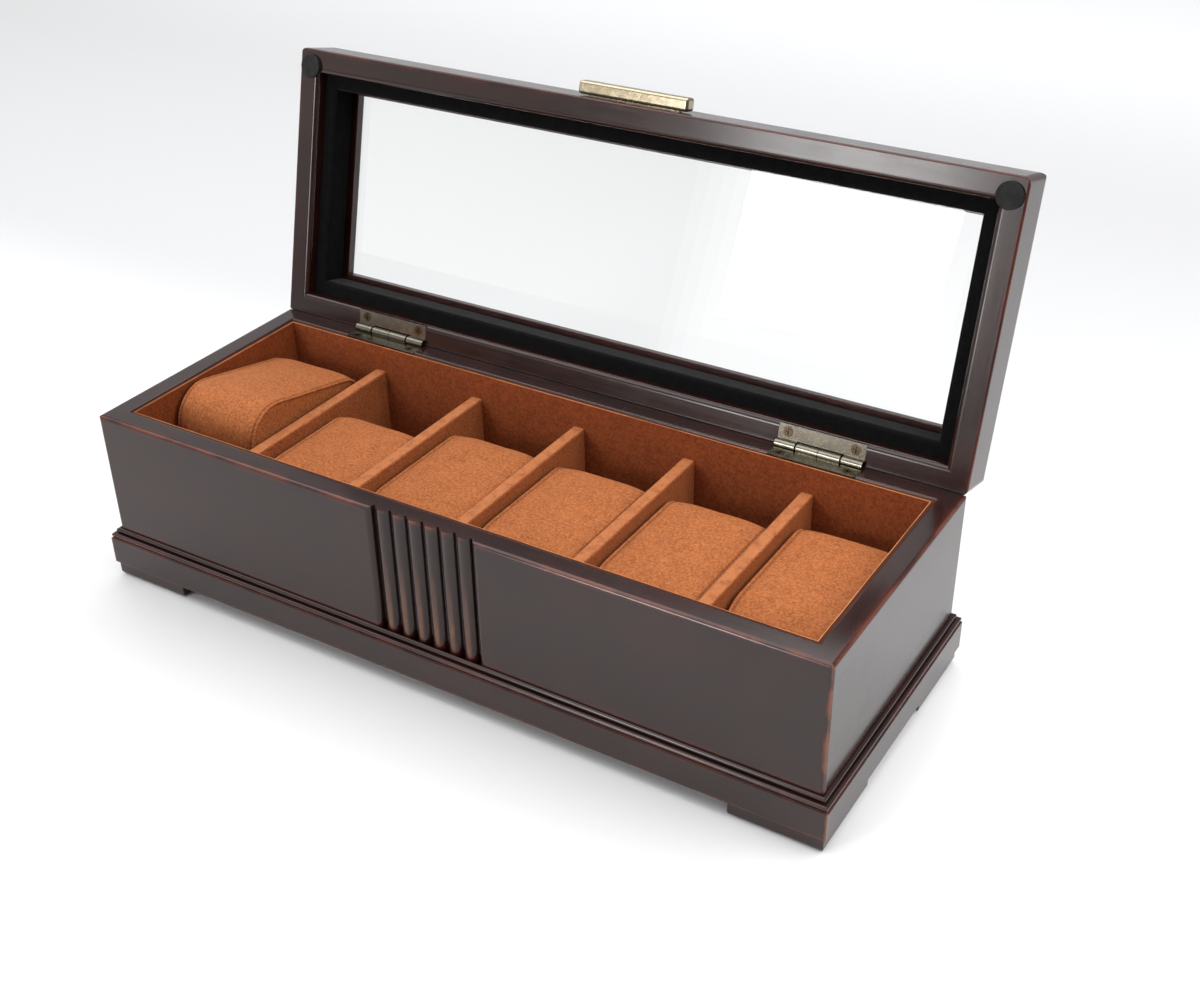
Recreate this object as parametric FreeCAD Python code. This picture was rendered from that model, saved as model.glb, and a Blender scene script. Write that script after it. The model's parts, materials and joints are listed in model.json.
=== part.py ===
import FreeCAD, Part
import math
import os
from FreeCAD import Vector

# Wooden watch box with a glazed lid standing open, in millimetres.
# Built about the middle of the case, with X along the front, Y to the rear and Z up from the
# floor, then moved so that the origin is the middle of the open box's footprint.

# Case
case_length = 330.0
case_depth = 120.0
case_top = 78.5
wall = 9.0
corner_round = 1.5
wall_outer_round = 1.5
wall_inner_round = 0.8

# Plinth and feet
foot_height = 6.9
foot_length = 37.0
foot_depth = 38.0
foot_inset = 1.1
foot_edge_round = 2.0
fascia_height = 12.6
fascia_round = 0.6
plinth_out = 3.4
plinth_ledge = 6.0
lower_bead = 0.95
upper_bead = 1.05
bead_quirk = 0.35

# Reeds in the recess of the front wall
reeds = 6
reed_pitch = 7.4
reed_width = 6.8
reed_height = 2.4
recess_width = 46.0
recess_depth = 2.8
recess_edge_round = 2.6

# Bottom, lining and dividers
bottom_thick = 4.0
lining = 1.5
lining_drop = 0.6
slots = 6
divider_thick = 5.5
divider_drop = 12.5
divider_round = 1.0

# Pillows, measured at their end seams
pillow_side_gap = 1.95
pillow_height = 35.5
pillow_front_round = 20.0
pillow_rear_round = 10.0
pillow_foot_round = 9.0
pillow_crown = 2.6
pillow_rest_gap = 0.3
pillow_sections = 7
pillow_fullness = 4

# Gaps left in front of and behind the pillows, which lie where a hand left them
pillow_front_gaps = {2: 3.4, 3: 6.1, 4: 6.1, 5: 6.6, 6: 13.6}
pillow_rear_gaps = {2: 29.6, 3: 18.1, 4: 18.1, 5: 17.6, 6: 10.6}

# The pillow in the first place is fuller and stands proud at the front
proud_front_gap = 19.8
proud_rear_gap = 9.9
proud_rear_height = 40.4
proud_front_height = 55.4
proud_front_round = 15.5

# Lid
lid_open = 104.0
lid_gap = 1.6
lid_thick = 24.0
lid_front_in = 1.0
lid_rail = 10.0
lid_lip_width = 8.7
lid_lip_thick = 4.3
lid_top_round = 5.5
lid_edge_round = 0.8
lid_inner_round = 2.2
lid_corner_round = 3.0
glass_thick = 3.0
glass_clear = 0.5
velvet_width = 6.4
velvet_height = 11.2
velvet_round = 1.8
bumper_dia = 10.2
bumper_thick = 1.4
bumper_round = 0.4
bumper_from_end = 6.3
bumper_from_front = 7.4

# Lift pull
pull_length = 50.4
pull_depth = 5.4
pull_thick = 6.0
pull_round = 1.3
pull_offset = 9.0
neck_length = 42.0
neck_depth = 0.4
neck_thick = 2.6
pull_screw_spacing = 30.0
pull_screw_radius = 1.1
pull_screw_head_radius = 2.0
pull_screw_head = 1.4
pull_screw_bite = 4.0

# Hinges
hinge_from_end = 60.0
hinge_length = 37.0
hinge_inset = 1.4
stop_clear = 0.3
leaf_reach = 8.2
leaf_thick = 1.1
knuckle_radius = 1.95
knuckle_end = 8.5
knuckle_gap = 0.8
knuckle_seam = 0.3
pin_radius = 0.8
pin_clear = 0.05
turn_clear = 0.3
mortise_clear = 0.1
screw_spacing = 28.6
screw_from_axis = 5.3
screw_head_radius = 2.1
screw_head = 1.3
screw_radius = 1.1
screw_length = 8.0
screw_clear = 0.05
screw_slot_width = 0.55
screw_slot_length = 2.6
screw_slot_depth = 0.6

# Places that follow from the sizes above
half_length = case_length / 2
half_depth = case_depth / 2
plinth_top = foot_height + fascia_height
floor_top = plinth_top + bottom_thick + lining
inner_length = half_length - wall
inner_depth = half_depth - wall
room_length = inner_length - lining
room_depth = inner_depth - lining
slot_width = (2 * room_length - (slots - 1) * divider_thick) / slots
slot_pitch = slot_width + divider_thick
slot_centres = [(i - (slots - 1) / 2) * slot_pitch for i in range(slots)]
lid_low = case_top + lid_gap
lid_high = lid_low + lid_thick
glass_high = lid_high - lid_lip_thick
glass_low = glass_high - glass_thick
lid_half_depth = half_depth - lid_front_in / 2
lid_middle = lid_front_in / 2
lid_front = lid_middle - lid_half_depth
rebate_length = half_length - lid_rail
rebate_depth = lid_half_depth - lid_rail
axis_y = half_depth - hinge_inset
axis_z = case_top + lid_gap / 2
leaf_near = knuckle_radius + turn_clear
margin = 1.0

sides = {"front": 0, "right": 90, "rear": 180, "left": 270}
case_parts = {}
lid_parts = {}


def outline(corners, place):
    # Closed wire through (u, v, radius) corners, each rounded by an arc of its radius.
    stops = []
    for i, (u, v, radius) in enumerate(corners):
        here = Vector(u, v, 0)
        before = Vector(*corners[i - 1][:2], 0) - here
        after = Vector(*corners[(i + 1) % len(corners)][:2], 0) - here
        before.normalize()
        after.normalize()
        half_angle = before.getAngle(after) / 2
        reach = radius / math.tan(half_angle)
        bisector = before + after
        bisector.normalize()
        middle = here + bisector * (radius / math.sin(half_angle) - radius)
        stops.append((here + before * reach, middle, here + after * reach, radius))
    edges = []
    for i, (start, middle, end, radius) in enumerate(stops):
        points = [place(p.x, p.y) for p in (start, middle, end)]
        if radius > 0:
            edges.append(Part.Arc(*points).toShape())
        following = stops[(i + 1) % len(stops)][0]
        if end.distanceToPoint(following) > 1e-6:
            edges.append(Part.LineSegment(points[2], place(following.x, following.y)).toShape())
    return Part.Wire(edges)


def block(low, high):
    size = [b - a for a, b in zip(low, high)]
    return Part.makeBox(*size, Vector(*low))


def bar_along_x(middle, length, y, z, radius):
    return Part.makeCylinder(radius, length, Vector(middle - length / 2, y, z), Vector(1, 0, 0))


def rounded_column(half_x, half_y, radius, low, high):
    corners = [(-half_x, -half_y), (half_x, -half_y), (half_x, half_y), (-half_x, half_y)]
    wire = outline([(u, v, radius) for u, v in corners], lambda u, v: Vector(u, v, low))
    return Part.Face(wire).extrude(Vector(0, 0, high - low))


def mitred_rail(section, side, half_x, half_y, out, width, corner=0.0):
    # One side of a mitred frame. The section's u runs outward from the half_x by half_y
    # rectangle; out is its outermost reach, and width its depth from there inward.
    along, across = (half_x, half_y) if sides[side] % 180 == 0 else (half_y, half_x)
    end = along + out
    outer = -across - out
    bar = Part.Face(section(lambda u, v: Vector(-end, -across - u, v)))
    bar = bar.extrude(Vector(2 * end, 0, 0))
    low = bar.BoundBox.ZMin - margin
    high = bar.BoundBox.ZMax + margin
    inward = width + margin
    plan = [
        (-end - margin, outer - margin),
        (end + margin, outer - margin),
        (end - inward, outer + inward),
        (-end + inward, outer + inward),
    ]
    wedge = Part.Face(Part.makePolygon([Vector(u, v, low) for u, v in plan + plan[:1]]))
    rail = bar.common(wedge.extrude(Vector(0, 0, high - low)))
    if corner > 0:
        rail = rail.common(rounded_column(end, -outer, corner, low, high))
    rail.rotate(Vector(0, 0, 0), Vector(0, 0, 1), sides[side])
    return rail.Solids[0]


# Walls of the case
def wall_section(place):
    return outline([
        (0, plinth_top, 0),
        (0, case_top, wall_outer_round),
        (-wall, case_top, wall_inner_round),
        (-wall, plinth_top, 0),
    ], place)


for side in sides:
    case_parts[side + "_wall"] = mitred_rail(
        wall_section, side, half_length, half_depth, 0, wall, corner_round)


# Recess in the middle of the front wall, filled with a row of half-round reeds
def reeded(front):
    face_y = -half_depth
    floor_y = face_y + recess_depth
    edge = recess_width / 2
    flare = edge + recess_edge_round + margin
    wire = outline([
        (-edge, floor_y, 0),
        (-edge, face_y, recess_edge_round),
        (-flare, face_y, 0),
        (-flare, face_y - margin, 0),
        (flare, face_y - margin, 0),
        (flare, face_y, 0),
        (edge, face_y, recess_edge_round),
        (edge, floor_y, 0),
    ], lambda u, v: Vector(u, v, plinth_top))
    rise = Vector(0, 0, case_top - plinth_top)
    front = front.cut(Part.Face(wire).extrude(rise))
    for i in range(reeds):
        middle = (i - (reeds - 1) / 2) * reed_pitch
        left = Vector(middle - reed_width / 2, floor_y, plinth_top)
        right = Vector(middle + reed_width / 2, floor_y, plinth_top)
        tip = Vector(middle, floor_y - reed_height, plinth_top)
        round_face = Part.Arc(left, tip, right).toShape()
        back = Part.LineSegment(right, left).toShape()
        front = front.fuse(Part.Face(Part.Wire([round_face, back])).extrude(rise))
    return front.removeSplitter().Solids[0]


case_parts["front_wall"] = reeded(case_parts["front_wall"])


# Plinth rails: flat fascia, a bead on top of it and a second bead against the wall
def plinth_section(place):
    lower_middle = plinth_out - bead_quirk - lower_bead
    lower_end = plinth_top + 2 * lower_bead
    upper_end = lower_end + 2 * upper_bead
    ledge = -wall - plinth_ledge
    run = [
        [(ledge, foot_height), (plinth_out, foot_height)],
        [(plinth_out, foot_height), (plinth_out, plinth_top - fascia_round)],
        [(plinth_out, plinth_top - fascia_round), (plinth_out - fascia_round, plinth_top)],
        [(plinth_out - fascia_round, plinth_top), (lower_middle, plinth_top)],
        [(lower_middle, plinth_top), (lower_middle + lower_bead, plinth_top + lower_bead),
         (lower_middle, lower_end)],
        [(lower_middle, lower_end), (bead_quirk, lower_end)],
        [(bead_quirk, lower_end), (bead_quirk + upper_bead, lower_end + upper_bead),
         (bead_quirk, upper_end)],
        [(bead_quirk, upper_end), (0, upper_end)],
        [(0, upper_end), (0, plinth_top)],
        [(0, plinth_top), (ledge, plinth_top)],
        [(ledge, plinth_top), (ledge, foot_height)],
    ]
    curves = {2: Part.LineSegment, 3: Part.Arc}
    return Part.Wire([curves[len(p)](*[place(u, v) for u, v in p]).toShape() for p in run])


for side in sides:
    case_parts["plinth_" + side] = mitred_rail(
        plinth_section, side, half_length, half_depth, plinth_out,
        plinth_out + wall + plinth_ledge)

# Corner feet under the plinth, rounded at the floor
for name_y, sign_y in (("front", -1), ("rear", 1)):
    for name_x, sign_x in (("left", -1), ("right", 1)):
        outer_x = half_length + plinth_out - foot_inset
        outer_y = half_depth + plinth_out - foot_inset
        xs = sorted((sign_x * outer_x, sign_x * (outer_x - foot_length)))
        ys = sorted((sign_y * outer_y, sign_y * (outer_y - foot_depth)))
        foot = block((xs[0], ys[0], 0), (xs[1], ys[1], foot_height))
        floor_edges = [e for e in foot.Edges if e.BoundBox.ZMax < foot_height / 2]
        foot = foot.makeFillet(foot_edge_round, floor_edges)
        case_parts["foot_" + name_y + "_" + name_x] = foot

# Bottom panel on the plinth's ledge, and the suede lining boards
panel_top = plinth_top + bottom_thick
lining_top = case_top - lining_drop
case_parts["bottom_panel"] = block(
    (-inner_length, -inner_depth, plinth_top), (inner_length, inner_depth, panel_top))
case_parts["lining_floor"] = block(
    (-room_length, -room_depth, panel_top), (room_length, room_depth, floor_top))
case_parts["lining_front"] = block(
    (-inner_length, -inner_depth, panel_top), (inner_length, -room_depth, lining_top))
case_parts["lining_rear"] = block(
    (-inner_length, room_depth, panel_top), (inner_length, inner_depth, lining_top))
case_parts["lining_left"] = block(
    (-inner_length, -room_depth, panel_top), (-room_length, room_depth, lining_top))
case_parts["lining_right"] = block(
    (room_length, -room_depth, panel_top), (inner_length, room_depth, lining_top))

# Dividers between the slots
divider_top = case_top - divider_drop
for i in range(slots - 1):
    middle = (slot_centres[i] + slot_centres[i + 1]) / 2
    edge = divider_thick / 2
    wire = outline([
        (middle - edge, floor_top, 0),
        (middle + edge, floor_top, 0),
        (middle + edge, divider_top, divider_round),
        (middle - edge, divider_top, divider_round),
    ], lambda u, v: Vector(u, -room_depth, v))
    divider = Part.Face(wire).extrude(Vector(0, 2 * room_depth, 0))
    case_parts["divider_" + str(i + 1)] = divider


# Pillows: full in the middle of their width and drawn in towards the two end seams
def pillow(middle, front_gap, rear_gap, front_height, front_round, rear_height):
    seat = floor_top + pillow_rest_gap
    front = room_depth - front_gap
    rear = room_depth - rear_gap
    half_width = slot_width / 2 - pillow_side_gap
    sections = []
    for i in range(pillow_sections):
        share = 2 * i / (pillow_sections - 1) - 1
        grow = pillow_crown * (1 - abs(share) ** pillow_fullness)
        lift = (pillow_crown - grow) / 2
        corners = [
            (rear + grow, seat + lift, pillow_foot_round),
            (rear + grow, seat + rear_height + grow, pillow_rear_round),
            (-front - grow, seat + front_height + grow, front_round),
            (-front - grow, seat + lift, pillow_foot_round),
        ]
        x = middle + share * half_width
        sections.append(outline(corners, lambda u, v: Vector(x, u, v)))
    return Part.makeLoft(sections, True, False).Solids[0]


pillow_parts = {}
for place, middle in enumerate(slot_centres, 1):
    if place == 1:
        gaps = (proud_front_gap, proud_rear_gap)
        form = (proud_front_height, proud_front_round, proud_rear_height)
    else:
        gaps = (pillow_front_gaps[place], pillow_rear_gaps[place])
        form = (pillow_height, pillow_front_round, pillow_height)
    pillow_parts["pillow_" + str(place)] = pillow(middle, *gaps, *form)


# Rails of the closed lid, rebated under a lip for the glass
def lid_section(place):
    lip = -lid_rail - lid_lip_width
    return outline([
        (0, lid_low, lid_edge_round),
        (0, lid_high, lid_top_round),
        (lip, lid_high, lid_edge_round),
        (lip, glass_high, 0),
        (-lid_rail, glass_high, 0),
        (-lid_rail, lid_low, lid_inner_round),
    ], place)


def velvet_section(place):
    velvet_low = glass_low - velvet_height
    return outline([
        (0, velvet_low, 0),
        (0, glass_low, 0),
        (-velvet_width, glass_low, 0),
        (-velvet_width, velvet_low, velvet_round),
    ], place)


for side in sides:
    lid_parts["lid_" + side + "_rail"] = mitred_rail(
        lid_section, side, half_length, lid_half_depth, 0, lid_rail + lid_lip_width,
        lid_corner_round)
    lid_parts["velvet_" + side] = mitred_rail(
        velvet_section, side, rebate_length, rebate_depth, 0, velvet_width)

pane_x = rebate_length - glass_clear
pane_y = rebate_depth - glass_clear
lid_parts["glass_panel"] = block((-pane_x, -pane_y, glass_low), (pane_x, pane_y, glass_high))
for shape in lid_parts.values():
    shape.translate(Vector(0, lid_middle, 0))


# Bevels along the rear edges of case and lid, which meet when the lid is open and stop it there
def stop_wedge(up):
    lean = math.radians(lid_open / 2)
    along = Vector(0, math.cos(lean), -up * math.sin(lean)) * wall
    away = Vector(0, math.sin(lean), up * math.cos(lean))
    start = Vector(-half_length - margin, axis_y, axis_z) - away * (stop_clear / 2)
    away = away * wall
    corners = [start, start + along, start + along + away, start + away, start]
    return Part.Face(Part.makePolygon(corners)).extrude(Vector(2 * (half_length + margin), 0, 0))


for side in ("left", "right", "rear"):
    case_parts[side + "_wall"] = case_parts[side + "_wall"].cut(stop_wedge(1)).Solids[0]
    rail = "lid_" + side + "_rail"
    lid_parts[rail] = lid_parts[rail].cut(stop_wedge(-1)).Solids[0]

# Round bumpers under the lid's front corners
for name, sign in (("left", -1), ("right", 1)):
    seat = Vector(sign * (half_length - bumper_from_end), lid_front + bumper_from_front, lid_low)
    disc = Part.makeCylinder(bumper_dia / 2, bumper_thick, seat, Vector(0, 0, -1))
    rim = [e for e in disc.Edges if e.BoundBox.ZMax < lid_low - bumper_thick / 2]
    lid_parts["bumper_" + name] = disc.makeFillet(bumper_round, rim)

# Lift pull: a bar on a narrow neck, held by two screws from inside the front rail
pull_z = lid_low + pull_offset
bar_back = lid_front - neck_depth
bar = block((-pull_length / 2, bar_back - pull_depth, pull_z - pull_thick / 2),
            (pull_length / 2, bar_back, pull_z + pull_thick / 2))
bar = bar.makeFillet(pull_round, bar.Edges)
neck = block((-neck_length / 2, bar_back - pull_depth / 2, pull_z - neck_thick / 2),
             (neck_length / 2, lid_front, pull_z + neck_thick / 2))
pull = bar.fuse(neck)


def pull_screw(x, clear):
    start = Vector(x, lid_front + lid_rail, pull_z)
    forward = Vector(0, -1, 0)
    reach = lid_rail + pull_screw_bite
    head = Part.makeCylinder(pull_screw_head_radius + clear, pull_screw_head + clear, start, forward)
    shank = Part.makeCylinder(pull_screw_radius + clear, reach + clear, start, forward)
    return head.fuse(shank).removeSplitter().Solids[0]


pull_screws = []
for sign in (-1, 1):
    x = sign * pull_screw_spacing / 2
    hole = pull_screw(x, screw_clear)
    lid_parts["lid_front_rail"] = lid_parts["lid_front_rail"].cut(hole)
    pull = pull.cut(hole)
    pull_screws.append(pull_screw(x, 0))
lid_parts["lift_pull"] = pull.removeSplitter().Solids[0]
lid_parts["pull_screws"] = Part.makeCompound(pull_screws)


# Countersunk hinge screw with a cross recess, its head flush at the given point
def hinge_screw(at, into, clear):
    down = Vector(0, 0, into)
    head = Part.makeCone(screw_head_radius + clear, screw_radius + clear, screw_head, at, down)
    shank = Part.makeCylinder(screw_radius + clear, screw_length + clear, at, down)
    return head.fuse(shank).removeSplitter().Solids[0]


def cross_recess(at, into):
    half_slot = screw_slot_length / 2
    half_width = screw_slot_width / 2
    deep = sorted((at.z - into * margin, at.z + into * screw_slot_depth))
    one = block((at.x - half_slot, at.y - half_width, deep[0]),
                (at.x + half_slot, at.y + half_width, deep[1]))
    other = block((at.x - half_width, at.y - half_slot, deep[0]),
                  (at.x + half_width, at.y + half_slot, deep[1]))
    return one.fuse(other)


# One leaf: a plate set flush in the wood, with its knuckles rolled round the pin
def hinge_leaf(middle, knuckles, low, high):
    half = hinge_length / 2
    leaf = block((middle - half, axis_y - leaf_reach, low), (middle + half, axis_y - leaf_near, high))
    for start, end in knuckles:
        roll = bar_along_x(middle + (start + end) / 2, end - start, axis_y, axis_z, knuckle_radius)
        web = block((middle + start, axis_y - leaf_near - margin, low),
                    (middle + end, axis_y, high))
        leaf = leaf.fuse(roll).fuse(web)
    bore = bar_along_x(middle, hinge_length + margin, axis_y, axis_z, pin_radius + pin_clear)
    return leaf.cut(bore).removeSplitter().Solids[0]


end_knuckles = [(-hinge_length / 2, knuckle_end - hinge_length / 2),
                (hinge_length / 2 - knuckle_end, hinge_length / 2)]
inner_reach = hinge_length / 2 - knuckle_end - knuckle_gap
mid_knuckles = [(-inner_reach, -knuckle_seam / 2), (knuckle_seam / 2, inner_reach)]
base_screws = []
lid_screws = []
rear_wall = case_parts["rear_wall"]
rear_rail = lid_parts["lid_rear_rail"]
for name, sign in (("left", -1), ("right", 1)):
    middle = sign * (half_length - hinge_from_end)
    half_mortise = hinge_length / 2 + mortise_clear
    notch = bar_along_x(middle, 2 * half_mortise, axis_y, axis_z, knuckle_radius + turn_clear)
    base_mortise = block(
        (middle - half_mortise, axis_y - leaf_reach - mortise_clear, case_top - leaf_thick),
        (middle + half_mortise, half_depth + margin, case_top + margin))
    lid_mortise = block(
        (middle - half_mortise, axis_y - leaf_reach - mortise_clear, lid_low - margin),
        (middle + half_mortise, half_depth + margin, lid_low + leaf_thick))
    rear_wall = rear_wall.cut(base_mortise).cut(notch)
    case_parts["lining_rear"] = case_parts["lining_rear"].cut(base_mortise).Solids[0]
    rear_rail = rear_rail.cut(lid_mortise).cut(notch)
    base_leaf = hinge_leaf(middle, mid_knuckles, case_top - leaf_thick, case_top)
    lid_leaf = hinge_leaf(middle, end_knuckles, lid_low, lid_low + leaf_thick)
    for place in (-1, 1):
        x = middle + place * screw_spacing / 2
        y = axis_y - screw_from_axis
        base_at = Vector(x, y, case_top)
        lid_at = Vector(x, y, lid_low)
        base_leaf = base_leaf.cut(hinge_screw(base_at, -1, screw_clear))
        rear_wall = rear_wall.cut(hinge_screw(base_at, -1, screw_clear))
        lid_leaf = lid_leaf.cut(hinge_screw(lid_at, 1, screw_clear))
        rear_rail = rear_rail.cut(hinge_screw(lid_at, 1, screw_clear))
        base_screws.append(hinge_screw(base_at, -1, 0).cut(cross_recess(base_at, -1)).Solids[0])
        lid_screws.append(hinge_screw(lid_at, 1, 0).cut(cross_recess(lid_at, 1)).Solids[0])
    case_parts["hinge_" + name + "_base_leaf"] = base_leaf.Solids[0]
    case_parts["hinge_" + name + "_pin"] = bar_along_x(
        middle, hinge_length, axis_y, axis_z, pin_radius)
    lid_parts["hinge_" + name + "_lid_leaf"] = lid_leaf.Solids[0]
case_parts["rear_wall"] = rear_wall.Solids[0]
case_parts["base_hinge_screws"] = Part.makeCompound(base_screws)
lid_parts["lid_rear_rail"] = rear_rail.Solids[0]
lid_parts["lid_hinge_screws"] = Part.makeCompound(lid_screws)

# Swing the lid open on the hinge pins
for shape in lid_parts.values():
    shape.rotate(Vector(0, axis_y, axis_z), Vector(1, 0, 0), -lid_open)

# Move the middle of the footprint to the origin and write one file for each piece
parts = {**case_parts, **pillow_parts, **lid_parts}
whole = Part.makeCompound(list(parts.values())).optimalBoundingBox(False)
shift = Vector(0, -(whole.YMin + whole.YMax) / 2, 0)
os.makedirs("parts", exist_ok=True)
for name, shape in parts.items():
    shape.translate(shift)
    shape.exportStep("parts/" + name + ".step")

print("nodes", len(parts))
print("size", round(whole.XLength, 2), round(whole.YLength, 2), round(whole.ZLength, 2))
print("shift in Y", round(shift.y, 3))
print("hinge axis at Y", round(axis_y + shift.y, 3), "Z", round(axis_z, 3))
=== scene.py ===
import bpy
import bmesh
import json
import math
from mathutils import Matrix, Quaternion, Vector, noise


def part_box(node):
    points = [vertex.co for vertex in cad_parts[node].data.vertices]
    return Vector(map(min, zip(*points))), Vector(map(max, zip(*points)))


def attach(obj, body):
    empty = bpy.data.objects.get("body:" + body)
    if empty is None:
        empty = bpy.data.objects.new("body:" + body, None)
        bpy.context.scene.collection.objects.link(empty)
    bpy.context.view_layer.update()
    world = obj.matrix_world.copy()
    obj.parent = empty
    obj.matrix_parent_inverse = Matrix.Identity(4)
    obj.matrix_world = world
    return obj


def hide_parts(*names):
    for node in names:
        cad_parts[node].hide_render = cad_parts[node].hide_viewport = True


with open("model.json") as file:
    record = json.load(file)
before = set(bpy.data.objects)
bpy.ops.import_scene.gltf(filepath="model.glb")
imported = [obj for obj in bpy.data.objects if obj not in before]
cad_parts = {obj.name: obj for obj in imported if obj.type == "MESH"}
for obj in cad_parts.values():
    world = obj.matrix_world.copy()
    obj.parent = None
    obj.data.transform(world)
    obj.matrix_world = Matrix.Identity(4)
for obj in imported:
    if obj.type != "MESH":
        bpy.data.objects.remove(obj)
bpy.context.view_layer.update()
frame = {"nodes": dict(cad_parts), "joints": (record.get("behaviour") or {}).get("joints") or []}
nodes = frame["nodes"]
scene = bpy.context.scene
print("frame loaded:", len(nodes), "nodes")

sides = ("front", "rear", "left", "right")
places = range(1, 7)
mm = 0.001


# Places read from the frame, in metres
def spanOf(*names):
    lows, highs = zip(*[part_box(name) for name in names])
    low = Vector([min(v[i] for v in lows) for i in range(3)])
    high = Vector([max(v[i] for v in highs) for i in range(3)])
    return low, high


caseLow, caseHigh = spanOf(*[side + "_wall" for side in sides])
plinthLow, plinthHigh = spanOf(*["plinth_" + side for side in sides])
mouthLow, mouthHigh = spanOf("lining_front", "lining_rear")   # outer faces of the lining
lidHinge = next(joint for joint in frame["joints"] if joint["name"] == "lid_hinge")
hingeAt = Vector(lidHinge["pos_m"])
lidOpen = math.radians(-lidHinge["range_deg"][0])


# Node helpers
def plug(tree, socket, value):
    if isinstance(value, bpy.types.NodeSocket):
        tree.links.new(value, socket)
    else:
        socket.default_value = value


def addNode(tree, kind, inputs=None, **settings):
    node = tree.nodes.new(kind)
    for key, value in settings.items():
        setattr(node, key, value)
    for key, value in (inputs or {}).items():
        plug(tree, node.inputs[key], value)
    return node


def calc(tree, operation, *values):
    return addNode(tree, "ShaderNodeMath", dict(enumerate(values)), operation=operation).outputs[0]


def calcVector(tree, operation, *values):
    node = addNode(tree, "ShaderNodeVectorMath", dict(enumerate(values)), operation=operation)
    return node.outputs[0]


def noiseAt(tree, position, scale, detail=3.0, rough=0.55):
    node = addNode(tree, "ShaderNodeTexNoise", {
        "Vector": position, "Scale": scale, "Detail": detail, "Roughness": rough})
    return node.outputs["Fac"]


def ease(tree, value, low, high, toLow=0.0, toHigh=1.0):   # smooth remap of a value
    node = addNode(tree, "ShaderNodeMapRange", {
        "Value": value, "From Min": low, "From Max": high, "To Min": toLow, "To Max": toHigh},
        interpolation_type="SMOOTHSTEP")
    return node.outputs["Result"]


def mixColour(tree, factor, first, second, blend="MIX"):
    node = addNode(tree, "ShaderNodeMix", data_type="RGBA", blend_type=blend)
    plug(tree, node.inputs[0], factor)
    plug(tree, node.inputs[6], first)
    plug(tree, node.inputs[7], second)
    return node.outputs[2]


def newGroup(name, inputs, outputs):
    tree = bpy.data.node_groups.new(name, "ShaderNodeTree")
    for label, kind, start in inputs:
        socket = tree.interface.new_socket(label, in_out="INPUT", socket_type="NodeSocket" + kind)
        socket.default_value = start
    for label, kind in outputs:
        tree.interface.new_socket(label, in_out="OUTPUT", socket_type="NodeSocket" + kind)
    entry = tree.nodes.new("NodeGroupInput").outputs
    leave = tree.nodes.new("NodeGroupOutput").inputs
    return tree, entry, leave


def useGroup(tree, group, **values):
    inputs = {key[0].upper() + key[1:]: value for key, value in values.items()}
    return addNode(tree, "ShaderNodeGroup", inputs, node_tree=group).outputs


def newMaterial(name):
    material = bpy.data.materials.new(name)
    material.use_nodes = True
    tree = material.node_tree
    tree.nodes.clear()
    principled = tree.nodes.new("ShaderNodeBsdfPrincipled")
    out = tree.nodes.new("ShaderNodeOutputMaterial")
    tree.links.new(principled.outputs["BSDF"], out.inputs["Surface"])
    position = tree.nodes.new("ShaderNodeTexCoord").outputs["Object"]
    return material, tree, principled, position


def addBump(tree, principled, height, depth, strength=1.0):
    bump = addNode(tree, "ShaderNodeBump", {
        "Height": height, "Distance": depth, "Strength": strength})
    tree.links.new(bump.outputs["Normal"], principled.inputs["Normal"])


def dress(material, *names):
    for name in names:
        nodes[name].data.materials.clear()
        nodes[name].data.materials.append(material)


origin = (0.0, 0.0, 0.0)
positionInput = ("Position", "Vector", origin)
boxInputs = [positionInput, ("Centre", "Vector", origin), ("Half", "Vector", origin),
             ("Width", "Float", 0.8 * mm), ("Uneven", "Float", 0.5)]


# Shared effects; a noise is given as scale, detail and sometimes roughness
def makeLidClosed():   # a point of the standing lid, turned back to where it lies shut
    tree, entry, leave = newGroup("lidClosed", [positionInput], [("Position", "Vector")])
    turn = addNode(tree, "ShaderNodeVectorRotate", {
        "Vector": entry["Position"], "Center": hingeAt, "Angle": lidOpen}, rotation_type="X_AXIS")
    plug(tree, leave["Position"], turn.outputs["Vector"])
    return tree


rubWork = {"noise": (60.0, 4.0), "range": (0.35, 0.65, -1.0, 1.0)}


def wornMask(tree, entry, near):   # 1 on the edge, fading out over an uneven width
    patches = ease(tree, noiseAt(tree, entry["Position"], *rubWork["noise"]), *rubWork["range"])
    width = calc(tree, "MULTIPLY_ADD", calc(tree, "MULTIPLY", patches, entry["Uneven"]),
                 entry["Width"], entry["Width"])
    return ease(tree, near, 0.0, width, 1.0, 0.0)


def fromBox(tree, entry):   # how far a point lies outside each pair of faces, and from the centre
    offset = calcVector(tree, "SUBTRACT", entry["Position"], entry["Centre"])
    past = calcVector(tree, "SUBTRACT", calcVector(tree, "ABSOLUTE", offset), entry["Half"])
    return offset, addNode(tree, "ShaderNodeSeparateXYZ", {"Vector": past}).outputs


def makeEdgeRub():   # finish rubbed thin along the twelve edges of a box
    tree, entry, leave = newGroup("edgeRub", boxInputs, [("Mask", "Float")])
    past = fromBox(tree, entry)[1]
    least = calc(tree, "MINIMUM", past["X"], past["Y"])
    most = calc(tree, "MAXIMUM", past["X"], past["Y"])
    middle = calc(tree, "MAXIMUM", least, calc(tree, "MINIMUM", most, past["Z"]))
    near = calc(tree, "MULTIPLY", middle, -1.0)
    plug(tree, leave["Mask"], wornMask(tree, entry, near))
    return tree


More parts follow.
